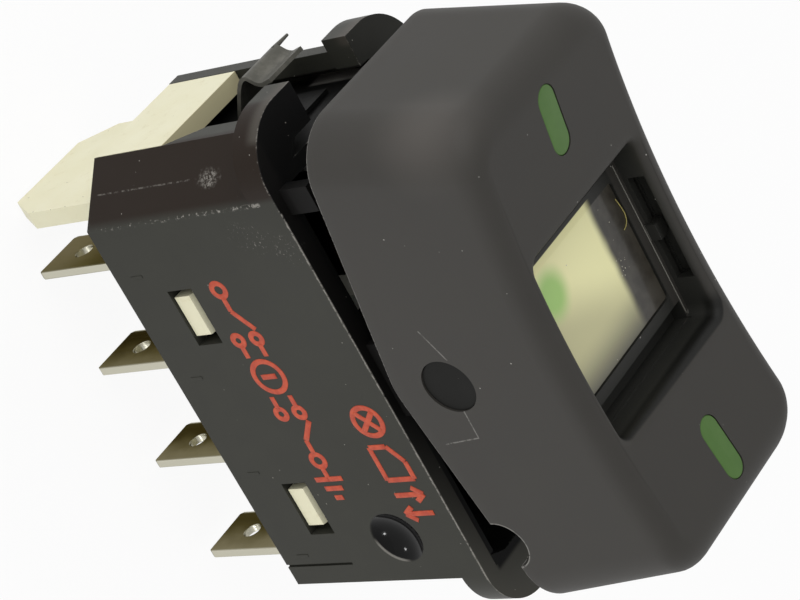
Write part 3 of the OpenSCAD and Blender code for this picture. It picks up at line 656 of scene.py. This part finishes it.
shell = arcs(foot_in, wall_foot, foot_up, 5)
shell += between(foot_up, wall_top, 14)
shell += arcs(wall_top, ridge, front_edge, 12)
shell += [on_front(face[:, :2]) for face in between(front_edge, lip_out, 16)]
shell += arcs(lip_out, lip, lip_down, 6)
shell += between(lip_down, sill, 2) + [sill]
shell += between(sill, step_in, 3) + [step_in, step_low, block_foot, block_top]
shell += between(block_top, inner_top, 3) + [inner_top]
shell += between(inner_top, inner_foot, 4) + [inner_foot, shell[0]]
rocker = tube_mesh("rocker_shell", np.stack(shell))


def bar_y(cx, cz, r, y0, y1, count=64):
    """A round bar along Y."""
    turn = np.linspace(0, 2 * math.pi, count, endpoint=False)
    face = np.stack([cx + r * np.cos(turn), 0 * turn, cz + r * np.sin(turn)], 1)
    return np.stack([face + np.array([0, y, 0]) for y in (y0, y1)])


def post(plan, z0, z1):
    """A straight post with the given plan outline."""
    return np.stack([ring(plan, z0), ring(plan, z1)])


def box(x0, x1, y0, y1):
    """Plan of a plain rectangle."""
    return np.array([[x0, y0], [x1, y0], [x1, y1], [x0, y1]], float)


def slot(half, r, cx, count=24):
    """Plan of a slot with round ends: half its straight length, its end radius and its middle."""
    turn = np.radians(np.linspace(-90, 90, count))
    right = np.stack([cx + half + r * np.cos(turn), r * np.sin(turn)], 1)
    return np.concatenate([right, right[::-1] * [-1, 1] + [2 * cx, 0]])


# Cuts in the shell: pivot holes, half-round rear notches, stepped light bar slots, snap slots and gutters
through_wall = (10.2, 14.0)
notch = (17.9, 7.8, 2.6)
bar_x = 17.6
bar_half = 2.175
bar_r = 1.125
flange_half = 1.95
flange_r = 1.4
flange_seat = 24.5
above = 30.0
snap_x = 5.5
snap_y = (9.4, 11.1)
snap_z = (ledge_z + 0.5, ledge_z + 2.4)
gutter_x = (7.5, 9.45)
gutter_y = 9.1
gutter_z = (ledge_z - 1.5, ledge_z + 0.5)
cuts = []
for side in (-1, 1):
    near, far = sorted(side * y for y in through_wall)
    cuts.append(bar_y(0.0, pivot_z, pivot_r, near, far))
    cuts.append(bar_y(*notch, near, far))
    cuts.append(post(slot(bar_half, bar_r, side * bar_x), ledge_z, flange_seat + 0.1))
    cuts.append(post(slot(flange_half, flange_r, side * bar_x), flange_seat, above))
    cuts.append(post(box(-snap_x, snap_x, *sorted(side * y for y in snap_y)), *snap_z))
    cuts.append(post(box(*sorted(side * x for x in gutter_x), -gutter_y, gutter_y), *gutter_z))
cutter = tube_mesh("rocker_cuts", *cuts)
cut = rocker.modifiers.new("cut", "BOOLEAN")
cut.operation = "DIFFERENCE"
cut.solver = "MANIFOLD"
cut.object = cutter
made = rocker.evaluated_get(bpy.context.evaluated_depsgraph_get())
rocker.data = bpy.data.meshes.new_from_object(made)
rocker.modifiers.clear()
rocker.data.materials.clear()
bpy.data.objects.remove(cutter)
rocker.data.set_sharp_from_angle(angle=math.radians(32))

rocker_grey, shader, at = finish("rocker_grey", IOR=1.46, Specular_IOR_Level=0.35)
x, y, z = at.axis("X"), at.axis("Y"), at.axis("Z")
long, wide = abs(x), abs(y)
grain = at.noise(11.0, 3.0, 0.6)
cloud = at.noise(0.14, 4.0)
fleck = at.noise(2.4, 4.0, 0.7)
dust = at.specks(0.55, 0.04) * at.noise(0.4, 1.0).step(0.5, 0.6)
# Pale rear edge and notch rims
rear_edge = (z - long * rear_tan).fade(rear_z + 0.02, rear_z + 0.16) * fleck.step(0.4, 0.52)
rear_edge = rear_edge * (wide + long * 0.5).step(9.6, 9.8)
notch_far = at.node("ShaderNodeCombineXYZ", X=x, Z=z).from_point((notch[0], 0.0, notch[1]))
notch_rim = notch_far.band(notch[2], 0.03, 0.16) * wide.step(12.2, 12.4) * fleck.step(0.3, 0.5)
# A hairline that runs round a corner beside the near pivot, and a short one on its other side
hair_corner = (5.7, -half_width, 11.8)
hair = at.from_line((2.6, -half_width, 11.8), hair_corner)
hair = hair.at_most(at.from_line(hair_corner, (6.1, -half_width, 7.8)))
hair = hair.at_most(at.from_line((-6.0, -half_width, 11.6), (-2.8, -half_width, 13.0)))
hair = hair.fade(0.03, 0.1) * fleck.step(0.35, 0.55)
pale_marks = dust * 0.8 + rear_edge.at_least(notch_rim) * 0.5 + hair * 0.35
pale_marks = pale_marks.at_most(1.0)
# A painted highlight pales the near corner of the keyed end; the window's sunk faces and the walls of
# its slots are painted almost black as shade
corner_highlight = at.from_point((-23.7, -9.9, 21.0)).fade(0.0, 6.6)
shaded_recess = long.fade(9.6, 9.75) * wide.fade(11.1, 11.2) * z.fade(23.4, 24.2)
on_ledge = z.band(ledge_z, 0.03, 0.06)
sill_line = on_ledge * wide.step(opening[1], opening[1] + 0.2)
slot_wall = shaded_recess * wide.step(window[1] + 0.05, window[1] + 0.15)
base = cloud.blend(rgb(54, 52, 49), rgb(61, 59, 55))
base = (corner_highlight * 0.7).blend(base, rgb(86, 82, 78))
base = (shaded_recess * (1 - sill_line)).blend(base, wide.step(9.0, 9.4).blend(rgb(44, 44, 41), rgb(48, 48, 45)))
base = slot_wall.blend(base, rgb(40, 40, 37))
# A dark band of even width on the window's lip at the plain end, outside the rounded mouth
mouth_corner = (window[0] - window[2], window[1] - window[2], above)
past_corner = at.vector("SUBTRACT", at.vector("ABSOLUTE", at, (0, 0, 0)), mouth_corner)
from_mouth = at.vector("MAXIMUM", past_corner, (0, 0, 0)).from_point((0, 0, 0)) - window[2]
dark_lip = (from_mouth - y * 0.02).fade(0.3, 0.54) * x.step(7.0, 9.0) * z.step(ledge_z + 1.6, ledge_z + 2.4)
base = dark_lip.blend(base, rgb(23, 23, 21))
# A painted highlight on the bead along each long ledge, and at the keyed end a cream strip on the
# ledge that widens the pane's painted lit part and ends where its painted shade begins
bead = wide.step(9.02, 9.1) * wide.fade(9.5, 9.6) * long.fade(9.1, 9.2) * z.band(ledge_z + 0.07, 0.02, 0.04)
lit_pane_strip = x.band(-6.72, 0.34, 0.42) * (y + cloud).fade(3.6, 5.0) * wide.fade(7.7, 8.0) * on_ledge
base = bead.blend(base, rgb(128, 126, 119))
base = lit_pane_strip.blend(base, rgb(246, 242, 184))
pale_marks.blend(base, rgb(178, 176, 170)).into(shader, "Base Color")
(0.5 + cloud * 0.1 + grain * 0.08 - shaded_recess * 0.2).into(shader, "Roughness")
(grain + hair).bump(0.03, 0.4).into(shader, "Normal")
rocker.data.materials.append(rocker_grey)
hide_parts("rocker")
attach(rocker, "rocker")


# Rocker core
# The light well under the window, the two sleeves for the plungers, and on each long ledge a bead and the nib
# that stopped the icon plate, all moulded in one with the shell.
well_top = 17.6
web = (12.2, 13.6)
tray = [ring(loop(7.3, 9.0, 0.4), h) for h in (well_top, web[0])]
tray += [ring(loop(4.5, 3.2, 0.3), h) for h in web]
tray += [ring(loop(6.4, 8.1, 0.3), h) for h in (web[1], well_top)]
tray += [tray[0]]


def sleeve(cy):
    """A blind tube: a closed profile of radius and height turned about an upright axis."""
    bore = [(0.02, 12.2), (1.6, 12.2), (1.6, -2.4)]
    outside = [(1.75, -2.5), (2.45, -2.5), (2.6, -2.35), (2.6, 13.0), (0.02, 13.0)]
    profile = np.array(bore + outside)
    turn = np.linspace(0, 2 * math.pi, 48, endpoint=False)
    flat = profile[:, None, :1] * np.stack([np.cos(turn), np.sin(turn)], 1)[None]
    up = np.broadcast_to(profile[:, None, 1:], flat.shape[:2] + (1,))
    return np.concatenate([flat, up], -1) + np.array([0, cy, 0])


nib_x = (-0.55, 1.1)
nib_y = (9.4, 10.9)
nib_top = 22.3
bead_x = (-7.3, 8.95)
bead_y = (9.15, 9.27)
bead_top = ledge_z + 0.09
root_z = ledge_z - 0.1
stops = []
for side in (-1, 1):
    stops.append(post(box(*nib_x, *sorted(side * y for y in nib_y)), root_z, nib_top))
    stops.append(post(box(*bead_x, *sorted(side * y for y in bead_y)), root_z, bead_top))
core = tube_mesh("rocker_core", np.stack(tray), sleeve(-pin_y), sleeve(pin_y), *stops)
edge = core.modifiers.new("round edges", "BEVEL")
edge.width = 0.03 * MM
edge.segments = 2
edge.limit_method = "ANGLE"
edge.harden_normals = True
core.data.materials.append(rocker_grey)
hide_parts("rocker")
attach(core, "rocker")


# Light box and frosted pane
# A cream tray carries the lamp light up to a frosted pane at the bottom of the window. The icon plate that
# covered it is gone, so the pane shows dust, the tint of the cap and the shaded far side of the well.
pane_z = 20.9
frosted_pane, shader, at = finish("frosted_pane", IOR=1.49, Coat_Weight=0.5, Coat_Roughness=0.1)
x, y = at.axis("X"), at.axis("Y")
wave = at.noise(0.22, 2.0)
# The lit part dims towards the plain end and its edge, round a green tint near the keyed end
lit = (y + wave).fade(3.7, 5.0)
low = (x - y * 0.5 + wave * 0.5).step(-2.3, 3.4)
dim_end = x.step(2.2, 7.2)
tint = (at.from_point((-3.6, -5.3, pane_z)) + wave * 0.6).fade(1.3, 3.4)
warm = low.blend(rgb(254, 250, 190), rgb(204, 200, 152))
warm = dim_end.blend(warm, rgb(78, 76, 69))
warm = (tint * 0.95).blend(warm, rgb(164, 211, 112))
shade = at.noise(0.5, 4.0, 0.6).step(0.35, 0.65).blend(rgb(64, 60, 52), rgb(44, 40, 32))
# Dust all over, with a group of crumbs on the edge of the shade
dust = at.specks(1.1, 0.06) * at.noise(0.6, 1.0).step(0.5, 0.6)
crumbs = at.specks(2.6, 0.16) * at.from_point((0.4, 4.4, pane_z)).fade(0.5, 1.5)
dust.at_least(crumbs).blend(lit.blend(shade, warm), rgb(205, 200, 180)).into(shader, "Base Color")
(0.25 + wave * 0.15).into(shader, "Roughness")
nodes["diffuser"].data.materials[0] = frosted_pane
nodes["light_box"].data.materials[0] = cream_plastic


# Fibre
# A curl of yellowed textile fluff that has dropped through the open window. It lies loose along the edge of
# the pane.
def thread(points, r, around=8, count=40):
    """A thin tube along points: the way from point to point is averaged with its neighbours until it is
    round, and a circle of radius r stands square to it."""
    points = np.asarray(points, float)
    share = np.linspace(0, len(points) - 1, count)
    path = np.stack([np.interp(share, range(len(points)), points[:, k]) for k in range(3)], 1)
    for settle in range(6):
        path[1:-1] = (path[:-2] + 2 * path[1:-1] + path[2:]) / 4
    along = np.gradient(path, axis=0)
    along /= np.linalg.norm(along, axis=1)[:, None]
    side = np.cross(along, [0, 0, 1.0])
    side /= np.linalg.norm(side, axis=1)[:, None]
    up = np.cross(side, along)
    turn = np.linspace(0, 2 * math.pi, around, endpoint=False)[None, :, None]
    return path[:, None] + r * (side[:, None] * np.cos(turn) + up[:, None] * np.sin(turn))


fibre_r = 0.045
fibre_z = pane_z + 0.07
fibre_way = [(-4.7, 7.75), (-3.8, 7.95), (-2.9, 8.05), (-2.3, 7.8), (-2.0, 7.4), (-1.9, 6.95)]
fibre = tube_mesh("fibre", thread([(*spot, fibre_z) for spot in fibre_way], fibre_r))
fluff, shader, at = finish("fluff", Roughness=0.7)
at.noise(3.0, 2.0).blend(rgb(196, 184, 112), rgb(150, 138, 78)).into(shader, "Base Color")
fibre.data.materials.append(fluff)
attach(fibre, "rocker")


# Green light bars
# Two bars of green plastic pressed into stepped slots of the front, one at each end of the rocker. A thin
# flange on each bar fills the step and lies flush with the front.
def light_bar(cx):
    """A round-ended bar that follows the dish: rings rise up the stem, step out to the flange, round over its
    edge and close along its middle."""
    play, soft, sunk, crown = 0.02, 0.15, 0.06, 0.03
    stem_foot, flange_foot = 2.0, 0.6
    stem = slot(bar_half, bar_r - play, cx)
    rim = slot(flange_half, flange_r - play, cx)
    inner_rim = slot(flange_half, flange_r - play - soft, cx)
    spine = slot(flange_half, 0.02, cx)
    rings = [on_front(stem, stem_foot), on_front(stem, flange_foot), on_front(rim, flange_foot)]
    over = on_front(inner_rim, sunk)
    middle = on_front(spine, sunk - crown)
    rings += arcs(on_front(rim, sunk + soft), on_front(rim, sunk), over, 5)
    return np.stack(rings + between(over, middle, 2) + [middle])


green_lens, shader, at = finish("green_lens", Roughness=0.4, IOR=1.49, Specular_IOR_Level=0.3)
at.noise(0.7, 3.0).blend(rgb(84, 118, 58), rgb(70, 106, 46)).into(shader, "Base Color")
for end, sign in (("a", -1), ("b", 1)):
    bar = tube_mesh("light_bar_" + end, light_bar(sign * bar_x))
    bar.data.materials.append(green_lens)
    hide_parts("lens_" + end)
    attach(bar, "rocker")


# Panel clips
# Hairpins of blackened spring steel, bent from strip and pressed over studs at both ends of the housing.
# Their leaves snap behind the panel.
clip_black, shader, at = finish("clip_black", Metallic=0.6)
pale_marks = at.noise(0.6, 4.0, 0.6).step(0.4, 0.7)
# The legs, inside the ends of the housing, are painted near black as shade
shaded_leg = abs(at.axis("X")).fade(23.0, 24.0)
base = pale_marks.blend(rgb(88, 87, 80), rgb(106, 104, 96))
shaded_leg.blend(base, rgb(22, 22, 21)).into(shader, "Base Color")
(0.48 - pale_marks * 0.1).into(shader, "Roughness")
for end in ("clip_a", "clip_b"):
    clip = moulded(end, 0.1, sharper=50)
    clip.data.materials.append(clip_black)
    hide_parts(end)
    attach(clip, "housing")


# Floor, light and camera
# A white floor just below the guard tongue, soft daylight from all round, a broad lamp over the keyed end and
# two small ones for glints. The camera sees the switch lying on its side, as in a catalogue picture.
floor_z = -35.8
bpy.ops.mesh.primitive_plane_add(size=6.0, location=(0, 0, floor_z * MM))
floor = bpy.context.object
floor_white = bpy.data.materials.new("floor_white")
floor_white.use_nodes = True
tree = floor_white.node_tree
tree.nodes.clear()
path = Sock(tree.nodes.new("ShaderNodeLightPath").outputs["Is Camera Ray"])
rays = path.socket.node.outputs
seen = path.at_least(Sock(rays["Is Glossy Ray"])).at_least(Sock(rays["Is Transmission Ray"]))
matt = path.node("ShaderNodeBsdfDiffuse", Color=(0.93, 0.93, 0.93, 1.0))
glow = path.node("ShaderNodeEmission", Color=(1.0, 1.0, 1.0, 1.0), Strength=1.0)
mixed = path.node("ShaderNodeMixShader", s0=seen * 0.92, s1=matt, s2=glow)
mixed.into(tree.nodes.new("ShaderNodeOutputMaterial"), "Surface")
floor.data.materials.append(floor_white)

# Daylight is a little weaker from straight above, and white where the camera sees it
world = bpy.data.worlds.new("studio")
bpy.context.scene.world = world
world.use_nodes = True
tree = world.node_tree
sky = tree.nodes["Background"]
path = Sock(tree.nodes.new("ShaderNodeLightPath").outputs["Is Camera Ray"])
ambient = 0.88
overhead = 0.62
up = Sock(tree.nodes.new("ShaderNodeTexCoord").outputs["Generated"]).axis("Z").step(0.1, 0.9)
light = ambient + up * (overhead - ambient)
(light + path * (1 - light)).into(sky, "Strength")
sky.inputs["Color"].default_value = (1.0, 1.0, 1.0, 1.0)

aim = Vector((0, 0, 8)) * MM
for name, place, size, power in (
    ("key", (-280, -60, 160), 0.3, 0.3),
    ("glint a", (159, -275, 5), 0.025, 0.08),
    ("glint b", (8, -53, -31), 0.004, 0.0016),
):
    lamp = bpy.data.lights.new(name, "AREA")
    lamp.shape = "DISK"
    lamp.size = size
    lamp.energy = power
    holder = bpy.data.objects.new(name, lamp)
    holder.location = Vector(place) * MM
    holder.rotation_euler = (aim - holder.location).to_track_quat("-Z", "Y").to_euler()
    bpy.context.scene.collection.objects.link(holder)

eye = Vector((-107.983, -172.870, 176.064)) * MM
picture_right = Vector((0.445606, 0.492809, 0.747378))
picture_down = Vector((0.803752, -0.587874, -0.091583))
sight = Vector((0.394231, 0.641516, -0.658057))
sensor = 36.0
focal_px = 2910.4
picture_px = 800
lens = bpy.data.cameras.new("camera")
lens.sensor_width = sensor
lens.lens = focal_px / picture_px * sensor
lens.clip_start = 0.01
camera = bpy.data.objects.new("camera", lens)
turned = Matrix((picture_right, -picture_down, -sight)).transposed().to_4x4()
camera.matrix_world = Matrix.Translation(eye) @ turned
bpy.context.scene.collection.objects.link(camera)
bpy.context.scene.camera = camera
bpy.context.scene.view_settings.view_transform = "Standard"
